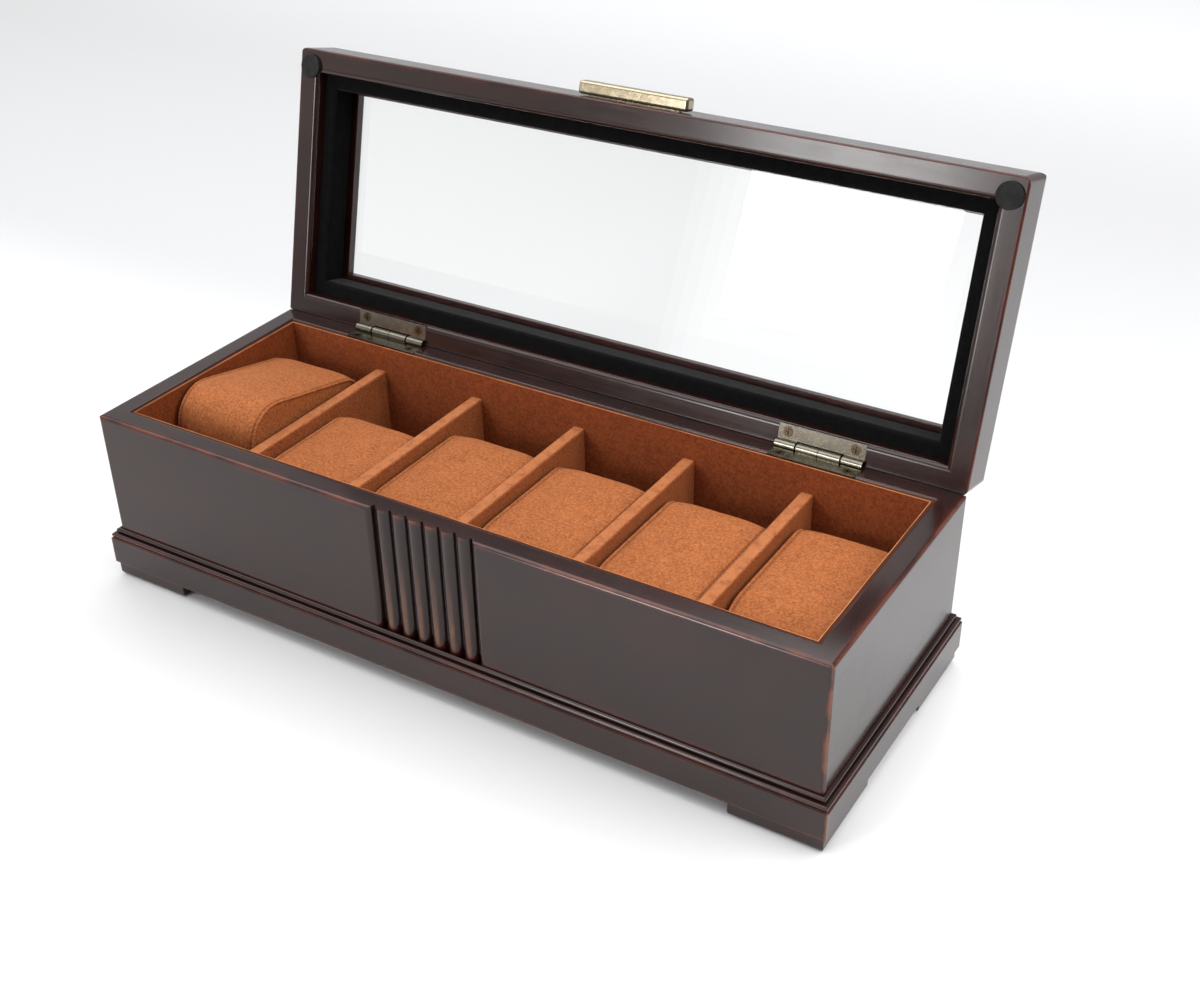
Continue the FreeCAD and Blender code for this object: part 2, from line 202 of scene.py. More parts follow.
def makeRimRub():   # the same along a rectangle that lies level at the centre's height
    tree, entry, leave = newGroup("rimRub", boxInputs, [("Mask", "Float")])
    offset, past = fromBox(tree, entry)
    height = addNode(tree, "ShaderNodeSeparateXYZ", {"Vector": offset}).outputs["Z"]
    plan = calc(tree, "ABSOLUTE", calc(tree, "MAXIMUM", past["X"], past["Y"]))
    near = calc(tree, "MAXIMUM", plan, calc(tree, "ABSOLUTE", height))
    plug(tree, leave["Mask"], wornMask(tree, entry, near))
    return tree


grainWork = {
    "long": (1.0, 9.0, 9.0), "fine": (1.0, 42.0, 42.0),   # how much closer the grain lies across X
    "figure": (26.0, 5.0), "figureRange": (0.32, 0.7),
    "streak": (48.0, 3.0), "streakRange": (0.3, 0.75),
    "mottle": (34.0, 4.0, 0.6), "mottleRange": (0.42, 0.72),
}


def makeLacquerGrain():   # stained wood under lacquer, its grain along X
    tree, entry, leave = newGroup("lacquerGrain", [positionInput], [
        ("Figure", "Float"), ("Streak", "Float"), ("Mottle", "Float")])
    long = calcVector(tree, "MULTIPLY", entry["Position"], grainWork["long"])
    fine = calcVector(tree, "MULTIPLY", entry["Position"], grainWork["fine"])
    figure = noiseAt(tree, long, *grainWork["figure"])
    streak = noiseAt(tree, fine, *grainWork["streak"])
    mottle = noiseAt(tree, entry["Position"], *grainWork["mottle"])
    plug(tree, leave["Figure"], ease(tree, figure, *grainWork["figureRange"]))
    plug(tree, leave["Streak"], ease(tree, streak, *grainWork["streakRange"]))
    plug(tree, leave["Mottle"], ease(tree, mottle, *grainWork["mottleRange"]))
    return tree


napWork = {
    "patch": (160.0, 5.0, 0.7), "patchRange": (0.3, 0.7),
    "fleck": (1050.0, 3.0, 0.75), "fleckRange": (0.30, 0.74),
    "fuzz": (3100.0, 1.0, 0.6), "fuzzShare": 0.45,
}


def makeSuedeNap():   # brushed patches, flecks of nap and fine fuzz
    tree, entry, leave = newGroup("suedeNap", [positionInput, ("Size", "Float", 1.0)], [
        ("Patch", "Float"), ("Fleck", "Float"), ("Height", "Float")])
    sized = calcVector(tree, "SCALE", entry["Position"])
    plug(tree, sized.node.inputs["Scale"], calc(tree, "DIVIDE", 1.0, entry["Size"]))
    patch = noiseAt(tree, sized, *napWork["patch"])
    fleck = noiseAt(tree, sized, *napWork["fleck"])
    fuzz = noiseAt(tree, sized, *napWork["fuzz"])
    plug(tree, leave["Patch"], ease(tree, patch, *napWork["patchRange"]))
    plug(tree, leave["Fleck"], ease(tree, fleck, *napWork["fleckRange"]))
    plug(tree, leave["Height"], calc(tree, "MULTIPLY_ADD", fuzz, napWork["fuzzShare"], fleck))
    return tree


agedWork = {
    "tarnish": (420.0, 6.0, 0.7), "tarnishRange": (0.4, 0.75),
    "speck": (2300.0, 2.0), "speckRange": (0.55, 0.75),
    "rubbed": (420.0, 3.0), "along": (1.0, 16.0, 16.0),
}


def makeAgedMetal():   # tarnish in patches, specks and fine rubbing along X
    tree, entry, leave = newGroup("agedMetal", [positionInput], [
        ("Tarnish", "Float"), ("Speck", "Float"), ("Rubbed", "Float")])
    along = calcVector(tree, "MULTIPLY", entry["Position"], agedWork["along"])
    tarnish = noiseAt(tree, entry["Position"], *agedWork["tarnish"])
    speck = noiseAt(tree, entry["Position"], *agedWork["speck"])
    plug(tree, leave["Tarnish"], ease(tree, tarnish, *agedWork["tarnishRange"]))
    plug(tree, leave["Speck"], ease(tree, speck, *agedWork["speckRange"]))
    plug(tree, leave["Rubbed"], noiseAt(tree, along, *agedWork["rubbed"]))
    return tree


markWork = {"noise": (46.0, 6.0, 0.65), "range": (0.4, 0.8)}


def makeHandling():   # faint handling marks in a gloss
    tree, entry, leave = newGroup("handling", [positionInput], [("Mark", "Float")])
    mark = noiseAt(tree, entry["Position"], *markWork["noise"])
    plug(tree, leave["Mark"], ease(tree, mark, *markWork["range"]))
    return tree


bevelWork = {"fade": (-0.45 * mm, -0.25 * mm)}   # below the plane in which the bevels meet


def makeStopBevel():   # faces of the bevels that meet behind the hinge pin and stop the lid, painted in shade to darken the slit between lid and case
    tree, entry, leave = newGroup("stopBevel", [
        positionInput, ("Lean", "Float", 1.0)], [("Mask", "Float")])
    past = calcVector(tree, "SUBTRACT", entry["Position"], hingeAt)
    split = addNode(tree, "ShaderNodeSeparateXYZ", {"Vector": past}).outputs
    upward = calc(tree, "MULTIPLY", split["Z"], entry["Lean"])
    rise = calc(tree, "MULTIPLY", upward, math.cos(lidOpen / 2))
    level = calc(tree, "MULTIPLY_ADD", split["Y"], math.sin(lidOpen / 2), rise)
    plug(tree, leave["Mask"], ease(tree, level, *bevelWork["fade"]))
    return tree


lidClosed = makeLidClosed()
stopBevel = makeStopBevel()
edgeRub = makeEdgeRub()
rimRub = makeRimRub()
lacquerGrain = makeLacquerGrain()
suedeNap = makeSuedeNap()
agedMetal = makeAgedMetal()
handling = makeHandling()
print("shared effects ready:", len(bpy.data.node_groups))


# Dark lacquered wood
lacquer = {
    "deep": (0.0130, 0.0040, 0.0031, 1.0),
    "warm": (0.0195, 0.0057, 0.0043, 1.0),
    "red": (0.0370, 0.0075, 0.0050, 1.0),
    "rubbed": (0.2100, 0.0680, 0.0280, 1.0),
    "thin": (0.0800, 0.0130, 0.0075, 1.0),
    # painted shade for the bevels in the slit between lid and case
    "paintedSlitShade": (0.0030, 0.0016, 0.0014, 1.0),
    "roughness": (0.17, 0.25),
    "mottle": 0.35,
    "grainDepth": 0.004 * mm,
    "grainStrength": 0.5,
    "specular": 0.46,
    "coat": 0.08,
    "coatRoughness": 0.12,
}


def boxOf(low, high):
    return (low + high) / 2, (high - low) / 2


def rimOf(low, high, level):
    centre, half = boxOf(low, high)
    return Vector((centre.x, centre.y, level)), half


def uprightsOf(box):   # a box so tall that only its upright edges count
    return box[0], box[1] + Vector((0, 0, 1))


def lacquerMaterial(name, alongY=False, onLid=False, rubs=(), tint=None):
    material, tree, principled, position = newMaterial(name)
    if onLid:
        position = useGroup(tree, lidClosed, position=position)["Position"]
    grainAt = position
    if alongY:
        grainAt = addNode(tree, "ShaderNodeVectorRotate", {
            "Vector": position, "Angle": math.pi / 2}, rotation_type="Z_AXIS").outputs["Vector"]
    grain = useGroup(tree, lacquerGrain, position=grainAt)
    colour = mixColour(tree, grain["Figure"], lacquer["deep"], lacquer["warm"])
    mottle = calc(tree, "MULTIPLY", grain["Mottle"], lacquer["mottle"])
    colour = mixColour(tree, mottle, colour, lacquer["red"])
    if tint:
        colour = tint(tree, position, colour)
    for group, (centre, half), width, strength, shade in rubs:
        mask = useGroup(tree, group, position=position, centre=centre, half=half, width=width)["Mask"]
        colour = mixColour(tree, calc(tree, "MULTIPLY", mask, strength), colour, lacquer[shade])
    # painted shade: the bevels in the slit behind the hinges are made near black and matt
    bevel = useGroup(tree, stopBevel, position=position, lean=-1.0 if onLid else 1.0)["Mask"]
    colour = mixColour(tree, bevel, colour, lacquer["paintedSlitShade"])
    mark = useGroup(tree, handling, position=position)["Mark"]
    gloss = ease(tree, calc(tree, "ADD", grain["Streak"], mark), 0.0, 2.0, *lacquer["roughness"])
    plug(tree, principled.inputs["Base Color"], colour)
    plug(tree, principled.inputs["Roughness"], calc(tree, "MAXIMUM", gloss, bevel))
    plug(tree, principled.inputs["Specular IOR Level"], lacquer["specular"])
    plug(tree, principled.inputs["Coat Weight"], lacquer["coat"])
    plug(tree, principled.inputs["Coat Roughness"], lacquer["coatRoughness"])
    addBump(tree, principled, grain["Streak"], lacquer["grainDepth"], lacquer["grainStrength"])
    return material


caseBox = boxOf(caseLow, caseHigh)
mouthRim = rimOf(mouthLow, mouthHigh, caseHigh.z)
quirkRim = rimOf(caseLow, caseHigh, plinthHigh.z)
plinthBox = boxOf(plinthLow, Vector((plinthHigh.x, plinthHigh.y, caseLow.z)))
wallRubs = [   # effect, box or rim, width, strength, shade
    (rimRub, quirkRim, 2.2 * mm, 0.5, "thin"),
    (edgeRub, caseBox, 2.4 * mm, 0.7, "thin"),
    (edgeRub, caseBox, 0.9 * mm, 0.6, "rubbed"),
    (edgeRub, uprightsOf(caseBox), 1.5 * mm, 0.9, "rubbed"),
    (rimRub, mouthRim, 0.8 * mm, 0.6, "thin"),
]
plinthRubs = [
    (edgeRub, plinthBox, 1.4 * mm, 0.35, "thin"),
    (edgeRub, plinthBox, 0.45 * mm, 0.35, "rubbed"),
    (edgeRub, uprightsOf(plinthBox), 1.0 * mm, 0.85, "rubbed"),
]

reedWork = {   # places across one reed are shares of the pitch from its middle
    "halfWidth": 23 * mm, "pitch": 7.4 * mm, "wornHeight": 42 * mm, "footHeight": 3 * mm,
    "sideFade": 0.4 * mm, "topFade": (0.2 * mm, 1.2 * mm),
    "patches": (150.0, 4.0), "patchRange": (0.3, 0.7, 0.6, 1.0),
    "valleyShadeFrom": (0.38, 0.46), "flankLightFrom": (0.05, -0.2), "flankLightShare": 0.8,
    "crestAt": 0.02, "crestFrom": (0.24, 0.03),
    # painted shade between the reeds, painted light on their left flanks, tan wear on the crests
    "valleyPaintedShade": (0.0060, 0.0022, 0.0018, 1.0),
    "flankPaintedLight": (0.030, 0.010, 0.007, 1.0),
    "tan": (0.130, 0.052, 0.026, 1.0),
}


def reedLightShadeAndWear(tree, position, colour):   # painted shade between the reeds, painted light on their left flanks, wear on their crests
    split = addNode(tree, "ShaderNodeSeparateXYZ", {"Vector": position}).outputs
    within = ease(tree, calc(tree, "ABSOLUTE", split["X"]), reedWork["halfWidth"],
                  reedWork["halfWidth"] - reedWork["sideFade"])
    below = ease(tree, split["Z"], *[caseHigh.z - fade for fade in reedWork["topFade"]])
    inside = calc(tree, "MULTIPLY", within, below)
    turns = calc(tree, "FRACT", calc(tree, "DIVIDE", split["X"], reedWork["pitch"]))
    place = calc(tree, "SUBTRACT", turns, 0.5)
    patches = ease(tree, noiseAt(tree, position, *reedWork["patches"]), *reedWork["patchRange"])
    # painted shade in the grooves, and painted light on the left flanks, the sides that face the light
    valleyPaintedShade = ease(tree, calc(tree, "ABSOLUTE", place), *reedWork["valleyShadeFrom"])
    flankPaintedLight = calc(tree, "MULTIPLY", ease(tree, place, *reedWork["flankLightFrom"]), patches)
    fromCrest = calc(tree, "ABSOLUTE", calc(tree, "SUBTRACT", place, reedWork["crestAt"]))
    crest = ease(tree, fromCrest, *reedWork["crestFrom"])
    base = plinthHigh.z
    lower = ease(tree, split["Z"], base + reedWork["wornHeight"], base + reedWork["footHeight"])
    # the wear fades out over the foot, which leaves painted shade against the bead
    worn = calc(tree, "MULTIPLY", lower, ease(tree, split["Z"], base, base + reedWork["footHeight"]))
    flankLightMix = calc(tree, "MULTIPLY", flankPaintedLight, reedWork["flankLightShare"])
    reeded = mixColour(tree, flankLightMix, colour, reedWork["flankPaintedLight"])
    reeded = mixColour(tree, valleyPaintedShade, reeded, reedWork["valleyPaintedShade"])
    tan = calc(tree, "MULTIPLY", calc(tree, "MULTIPLY", crest, worn), patches)
    reeded = mixColour(tree, tan, reeded, reedWork["tan"])
    return mixColour(tree, inside, colour, reeded)


def boardMaterial():   # thin stained board under the case
    board = {"dark": (0.030, 0.016, 0.010, 1.0), "light": (0.075, 0.040, 0.022, 1.0),
             "roughness": (0.55, 0.75), "grainDepth": 0.06 * mm}
    material, tree, principled, position = newMaterial("bottomBoard")
    grain = useGroup(tree, lacquerGrain, position=position)
    colour = mixColour(tree, grain["Figure"], board["dark"], board["light"])
    plug(tree, principled.inputs["Base Color"], colour)
    plug(tree, principled.inputs["Roughness"], ease(tree, grain["Streak"], 0.0, 1.0, *board["roughness"]))
    addBump(tree, principled, grain["Streak"], board["grainDepth"])
    return material


dress(lacquerMaterial("lacquerFront", rubs=wallRubs, tint=reedLightShadeAndWear), "front_wall")
dress(lacquerMaterial("lacquerRear", rubs=wallRubs), "rear_wall")
dress(lacquerMaterial("lacquerSides", alongY=True, rubs=wallRubs), "left_wall", "right_wall")
dress(lacquerMaterial("plinthLong", rubs=plinthRubs), "plinth_front", "plinth_rear")
dress(lacquerMaterial("plinthShort", alongY=True, rubs=plinthRubs), "plinth_left", "plinth_right")
footNames = ["foot_" + a + "_" + b for a in ("front", "rear") for b in ("left", "right")]
footRubs = [(edgeRub, boxOf(*spanOf(*footNames)), 0.7 * mm, 0.5, "thin")]
dress(lacquerMaterial("footLacquer", rubs=footRubs), *footNames)
dress(boardMaterial(), "bottom_panel")

lidWork = {"thick": 24 * mm, "gap": 1.6 * mm, "frontIn": 1 * mm, "rail": 10 * mm,
           "lipWidth": 8.7 * mm, "lipThick": 4.3 * mm}
lidLow = Vector((caseLow.x, caseLow.y + lidWork["frontIn"], caseHigh.z + lidWork["gap"]))
lidHigh = Vector((caseHigh.x, caseHigh.y, lidLow.z + lidWork["thick"]))
railIn = Vector((lidWork["rail"], lidWork["rail"], 0))
lipIn = railIn + Vector((lidWork["lipWidth"], lidWork["lipWidth"], 0))
lipRim = rimOf(lidLow + lipIn, lidHigh - lipIn, lidHigh.z - lidWork["lipThick"])
lidRubs = [
    (edgeRub, boxOf(lidLow, lidHigh), 1.8 * mm, 0.5, "thin"),
    (edgeRub, boxOf(lidLow, lidHigh), 0.4 * mm, 0.45, "rubbed"),
    (rimRub, rimOf(lidLow + railIn, lidHigh - railIn, lidLow.z), 0.8 * mm, 0.3, "thin"),
    (rimRub, lipRim, 0.7 * mm, 0.5, "thin"),
]
dress(lacquerMaterial("lidLong", onLid=True, rubs=lidRubs), "lid_front_rail", "lid_rear_rail")
dress(lacquerMaterial("lidShort", alongY=True, onLid=True, rubs=lidRubs),
      "lid_left_rail", "lid_right_rail")
print("lacquered wood ready")


# Suede on the boards, the dividers and the pillows
suede = {
    "shade": (0.212, 0.057, 0.0142, 1.0),
    "body": (0.294, 0.083, 0.0222, 1.0),
    "light": (0.505, 0.180, 0.066, 1.0),
    "rawEdge": (0.560, 0.215, 0.085, 1.0),
    # painted shade on the lining board's top in the gap beside the wood
    "rim": (0.055, 0.016, 0.008, 1.0),
    "seamShade": (0.075, 0.016, 0.005, 1.0),
    "fleck": 0.85,
    "rimFade": (0.25 * mm, 0.10 * mm),
    "rawWidth": 0.32 * mm, "rawUneven": 0.3, "rawRange": (0.1, 0.5),
    "foldWidth": 0.4 * mm, "foldFull": 0.2,
    "brushed": (240.0, 3.0), "brushedRange": (0.25, 0.6, 0.1, 0.45),
    "roughness": (0.80, 0.98),
    "specular": 0.2,
    "sheen": 0.08,
    "sheenRoughness": 0.4,
    "sheenTint": (1.0, 0.50, 0.25, 1.0),
    "napDepth": 0.10 * mm,
    "napStrength": 0.6,
}


def suedeMaterial(name, size=1.0, edgeLevel=None, gapShadeAndCutRim=None, sewn=False, tone=None):
    material, tree, principled, position = newMaterial(name)
    nap = useGroup(tree, suedeNap, position=position, size=size)
    colour = mixColour(tree, nap["Patch"], suede["shade"], suede["body"])
    colour = mixColour(tree, calc(tree, "MULTIPLY", nap["Fleck"], suede["fleck"]), colour, suede["light"])
    if tone:   # darker copy of the cloth: painted shade on the lining, a darker tone on the dividers
        colour = mixColour(tree, 1.0, colour, tone, "MULTIPLY")
    if gapShadeAndCutRim:   # board edge in the gap beside the wood painted in shade, with the cloth's cut edge along the inside
        height = addNode(tree, "ShaderNodeSeparateXYZ", {"Vector": position}).outputs["Z"]
        top = ease(tree, height, *[gapShadeAndCutRim[0].z - fade for fade in suede["rimFade"]])
        colour = mixColour(tree, top, colour, suede["rim"])
        raw = useGroup(tree, rimRub, position=position, centre=gapShadeAndCutRim[0], half=gapShadeAndCutRim[1],
                       width=suede["rawWidth"], uneven=suede["rawUneven"])["Mask"]
        colour = mixColour(tree, ease(tree, raw, *suede["rawRange"]), colour, suede["rawEdge"])
    if edgeLevel is not None:   # folded edge that the brush has lightened
        height = addNode(tree, "ShaderNodeSeparateXYZ", {"Vector": position}).outputs["Z"]
        worn = noiseAt(tree, position, *suede["brushed"])
        edge = ease(tree, height, edgeLevel - suede["foldWidth"],
                    edgeLevel - suede["foldFull"] * suede["foldWidth"])
        edge = calc(tree, "MULTIPLY", edge, ease(tree, worn, *suede["brushedRange"]))
        colour = mixColour(tree, edge, colour, suede["rawEdge"])
    if sewn:   # painted shade in the seam's groove
        paintedGrooveShade = addNode(tree, "ShaderNodeAttribute", attribute_name="paintedGrooveShade").outputs["Fac"]
        colour = mixColour(tree, paintedGrooveShade, colour, suede["seamShade"])
    plug(tree, principled.inputs["Base Color"], colour)
    plug(tree, principled.inputs["Roughness"], ease(tree, nap["Fleck"], 0.0, 1.0, *suede["roughness"]))
    plug(tree, principled.inputs["Specular IOR Level"], suede["specular"])
    plug(tree, principled.inputs["Sheen Weight"], suede["sheen"])
    plug(tree, principled.inputs["Sheen Roughness"], suede["sheenRoughness"])
    plug(tree, principled.inputs["Sheen Tint"], suede["sheenTint"])
    addBump(tree, principled, nap["Height"], suede["napDepth"], suede["napStrength"])
    return material


def threadMaterial():
    thread = {"dark": (0.20, 0.060, 0.020, 1.0), "light": (0.52, 0.22, 0.10, 1.0),
              "twist": (2600.0, 2.0), "roughRange": (0.2, 0.8, 0.55, 0.8), "depth": 0.08 * mm}
    material, tree, principled, position = newMaterial("pillowThread")
    twist = noiseAt(tree, position, *thread["twist"])
    plug(tree, principled.inputs["Base Color"], mixColour(tree, twist, thread["dark"], thread["light"]))
    plug(tree, principled.inputs["Roughness"], ease(tree, twist, *thread["roughRange"]))
    addBump(tree, principled, twist, thread["depth"])
    return material


roomLow, roomHigh = spanOf("lining_floor")
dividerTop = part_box("divider_1")[1].z
liningRim = rimOf(roomLow, roomHigh, mouthHigh.z)
# the lining's tone is painted shade, darker and more saturated than the pillows' cloth; the dividers' is
# a darker tone
boardShadeAndTone = {"lining": (0.62, 0.46, 0.40, 1.0), "divider": (0.84, 0.79, 0.83, 1.0)}
dress(suedeMaterial("suedeLining", gapShadeAndCutRim=liningRim, tone=boardShadeAndTone["lining"]),
      *["lining_" + side for side in sides], "lining_floor")
dress(suedeMaterial("suedeDivider", edgeLevel=dividerTop, tone=boardShadeAndTone["divider"]),
      *["divider_" + str(i) for i in places[:-1]])
pillowSuede = suedeMaterial("suedePillow", size=1.1, sewn=True)
pillowThread = threadMaterial()
print("suede ready")


# Hinges, screws and pull in aged pale brass
brass = {
    "bright": (0.480, 0.425, 0.325, 1.0),
    "dull": (0.310, 0.280, 0.225, 1.0),
    "speck": (0.130, 0.108, 0.080, 1.0),
    "brushedRange": (0.35, 0.65, 0.0, 0.7),
    "wornRange": (0.2, 1.6),
    "roughness": (0.18, 0.32),
    "rubDepth": 0.005 * mm,
}
metalWork = {   # tint, share of tarnish
    "hinge": ((0.44, 0.455, 0.47, 1.0), 0.25),
    "screw": ((0.30, 0.25, 0.20, 1.0), 0.9),
    "pull": ((1.10, 1.05, 0.94, 1.0), 0.2),
}


def brassMaterial(name, kind, onLid=False):
    tint, tarnish = metalWork[kind]
    material, tree, principled, position = newMaterial(name)
    if onLid:
        position = useGroup(tree, lidClosed, position=position)["Position"]
    aged = useGroup(tree, agedMetal, position=position)
    brushed = ease(tree, aged["Rubbed"], *brass["brushedRange"])
    colour = mixColour(tree, brushed, brass["bright"], brass["dull"])
    colour = mixColour(tree, calc(tree, "MULTIPLY", aged["Tarnish"], tarnish), colour, brass["dull"])
    colour = mixColour(tree, calc(tree, "MULTIPLY", aged["Speck"], tarnish), colour, brass["speck"])
    colour = mixColour(tree, 1.0, colour, tint, "MULTIPLY")
    plug(tree, principled.inputs["Base Color"], colour)
    plug(tree, principled.inputs["Metallic"], 1.0)
    worn = calc(tree, "ADD", aged["Tarnish"], aged["Rubbed"])
    plug(tree, principled.inputs["Roughness"], ease(tree, worn, *brass["wornRange"], *brass["roughness"]))
    addBump(tree, principled, aged["Rubbed"], brass["rubDepth"])
    return material


hingeSides = ("left", "right")
dress(brassMaterial("hingeBrass", "hinge"),
      *["hinge_" + s + "_base_leaf" for s in hingeSides], *["hinge_" + s + "_pin" for s in hingeSides])
dress(brassMaterial("hingeBrassLid", "hinge", onLid=True),
      *["hinge_" + s + "_lid_leaf" for s in hingeSides])
dress(brassMaterial("screwBrass", "screw"), "base_hinge_screws")
dress(brassMaterial("screwBrassLid", "screw", onLid=True), "lid_hinge_screws", "pull_screws")
dress(brassMaterial("pullBrass", "pull", onLid=True), "lift_pull")
print("brass ready")


# Glass, velvet strips and bumpers of the lid
def glassMaterial():
    pane = {"tint": (0.985, 0.995, 0.99, 1.0), "ior": 1.48, "smeared": (0.4, 1.0, 0.0, 0.03)}
    material, tree, principled, position = newMaterial("paneGlass")
    mark = useGroup(tree, handling, position=position)["Mark"]
    plug(tree, principled.inputs["Base Color"], pane["tint"])
    plug(tree, principled.inputs["Roughness"], ease(tree, mark, *pane["smeared"]))
    plug(tree, principled.inputs["IOR"], pane["ior"])
    plug(tree, principled.inputs["Transmission Weight"], 1.0)
    clear = tree.nodes.new("ShaderNodeBsdfTransparent")   # lets light through to the floor
    path = tree.nodes.new("ShaderNodeLightPath")
    mix = addNode(tree, "ShaderNodeMixShader", {
        0: path.outputs["Is Shadow Ray"], 1: principled.outputs["BSDF"], 2: clear.outputs["BSDF"]})
    out = next(n for n in tree.nodes if n.type == "OUTPUT_MATERIAL")
    tree.links.new(mix.outputs["Shader"], out.inputs["Surface"])
    return material


def velvetMaterial():
    pile = {"deep": (0.0012, 0.0012, 0.0013, 1.0), "lit": (0.0060, 0.0058, 0.0060, 1.0), "size": 0.6,
            "roughness": (0.85, 1.0), "specular": 0.1, "sheen": 0.12, "sheenRoughness": 0.35,
            "depth": 0.1 * mm}
    material, tree, principled, position = newMaterial("blackVelvet")
    nap = useGroup(tree, suedeNap, position=position, size=pile["size"])
    colour = mixColour(tree, nap["Fleck"], pile["deep"], pile["lit"])
    plug(tree, principled.inputs["Base Color"], colour)
    plug(tree, principled.inputs["Roughness"], ease(tree, nap["Patch"], 0.0, 1.0, *pile["roughness"]))
    plug(tree, principled.inputs["Specular IOR Level"], pile["specular"])
    plug(tree, principled.inputs["Sheen Weight"], pile["sheen"])
    plug(tree, principled.inputs["Sheen Roughness"], pile["sheenRoughness"])
    addBump(tree, principled, nap["Height"], pile["depth"])
    return material


def bumperMaterial():
    pad = {"deep": (0.003, 0.0032, 0.003, 1.0), "lit": (0.009, 0.0095, 0.009, 1.0), "size": 0.5,
           "roughness": (0.75, 0.92), "depth": 0.08 * mm}
    material, tree, principled, position = newMaterial("bumperFelt")
    nap = useGroup(tree, suedeNap, position=position, size=pad["size"])
    plug(tree, principled.inputs["Base Color"], mixColour(tree, nap["Fleck"], pad["deep"], pad["lit"]))
    plug(tree, principled.inputs["Roughness"], ease(tree, nap["Patch"], 0.0, 1.0, *pad["roughness"]))
    addBump(tree, principled, nap["Height"], pad["depth"])
    return material


dress(glassMaterial(), "glass_panel")
dress(velvetMaterial(), *["velvet_" + side for side in sides])
dress(bumperMaterial(), "bumper_left", "bumper_right")
print("lid finishes ready")


# Pillows: a sewn wrap with two end panels, swelled by a short cloth run
pillowForm = {
    "frontHeight": 35.5 * mm, "rearHeight": 35.5 * mm,
    "frontRound": 20 * mm, "rearRound": 10 * mm, "footRound": 9 * mm,
    "crown": 2.6 * mm,        # how much fuller the middle is than the seams
    "slack": 1.3 * mm,        # how much of that the stuffing adds in the cloth run
    "fullness": 4,
    "fill": 0.7,
}
proudForm = dict(pillowForm, frontHeight=55.4 * mm, rearHeight=40.4 * mm, frontRound=15.5 * mm)
seam = {   # columns are mm in from the seam; the end panel's insets and depths are mm too
    "columns": [0, 0.25, 0.6, 0.95, 1.25, 1.6, 1.95, 2.4, 3.2, 4.6, 6.6, 9.2, 12.2, 15.6, 18.6],
    "ridge": 0.38 * mm, "ridgeAt": 0.6 * mm, "ridgeWide": 0.42 * mm,
    "groove": 0.55 * mm, "grooveAt": 1.6 * mm, "grooveWide": 0.36 * mm,
    # strength and width of the painted shade in the seam's groove
    "dark": 0.6, "darkWide": 0.38 * mm,
    "panel": [(0.35, 0.12), (0.75, 0.75), (1.25, 1.0), (2.0, 0.72), (3.2, 0.6)],   # inset, sunk
    "rings": [0.78, 0.55, 0.3],
    "pinned": 2.4 * mm, "freeFrom": 4.6 * mm,
}
softness = {"scale": 70, "depth": 0.35 * mm, "fadeIn": 6 * mm,
            "apart": (7.3, 3.1, 1.7)}   # steps through the noise from pillow to pillow
stitch = {
    "length": 1.7 * mm, "gap": 0.9 * mm, "radius": 0.17 * mm, "lift": 0.10 * mm, "sides": 6,
    "dive": 2.2,              # how far the ends sink into the seam, in radii
    "profile": [(-0.5, 0.35), (-0.38, 0.85), (0.0, 1.0), (0.38, 0.85), (0.5, 0.35)],   # along, thickness
}
clothRun = {"enlarge": 10.0, "frames": 18, "pressure": 6.0, "mass": 0.3, "quality": 5}
runPoints = {"arc": 8, "frontArc": 14, "top": 22, "front": 5, "foot": 16, "rear": 8}


def roundedLoop(corners):   # points round (y, z, radius, points on arc, points on the run after)
    stops = []
    count = len(corners)
    for i, (y, z, radius, onArc, _) in enumerate(corners):
        here = Vector((y, z))
        before = (Vector(corners[i - 1][:2]) - here).normalized()
        after = (Vector(corners[(i + 1) % count][:2]) - here).normalized()
        half = before.angle(after) / 2
        centre = here + (before + after).normalized() * (radius / math.sin(half))
        start = here + before * (radius / math.tan(half)) - centre
        end = here + after * (radius / math.tan(half)) - centre
        turn = start.angle_signed(end)   # clockwise angles count as positive here
        stops.append([centre + rotated(start, -turn * k / onArc) for k in range(onArc + 1)])
    points = []
    for i, arc in enumerate(stops):
        points += arc
        following = stops[(i + 1) % count][0]
        onRun = corners[i][4]
        points += [arc[-1].lerp(following, k / onRun) for k in range(1, onRun)]
    return points


def rotated(vector, angle):
    return Vector((vector.x * math.cos(angle) - vector.y * math.sin(angle),
                   vector.x * math.sin(angle) + vector.y * math.cos(angle)))


def pillowLoop(form, low, high, grow, lift):
    rear = high.y - form["crown"] + grow
    front = low.y + form["crown"] - grow
    foot = low.z + lift
    return roundedLoop([
        (rear, foot, form["footRound"], runPoints["arc"], runPoints["rear"]),
        (rear, low.z + form["rearHeight"] + grow, form["rearRound"], runPoints["arc"], runPoints["top"]),
        (front, low.z + form["frontHeight"] + grow, form["frontRound"],
         runPoints["frontArc"], runPoints["front"]),
        (front, foot, form["footRound"], runPoints["arc"], runPoints["foot"]),
    ])


def loopNormals(loop):   # outward in the plane of the loop
    count = len(loop)
    normals = []
    for i in range(count):
        along = (loop[(i + 1) % count] - loop[i - 1]).normalized()
        normals.append(Vector((along.y, -along.x)))
    return normals


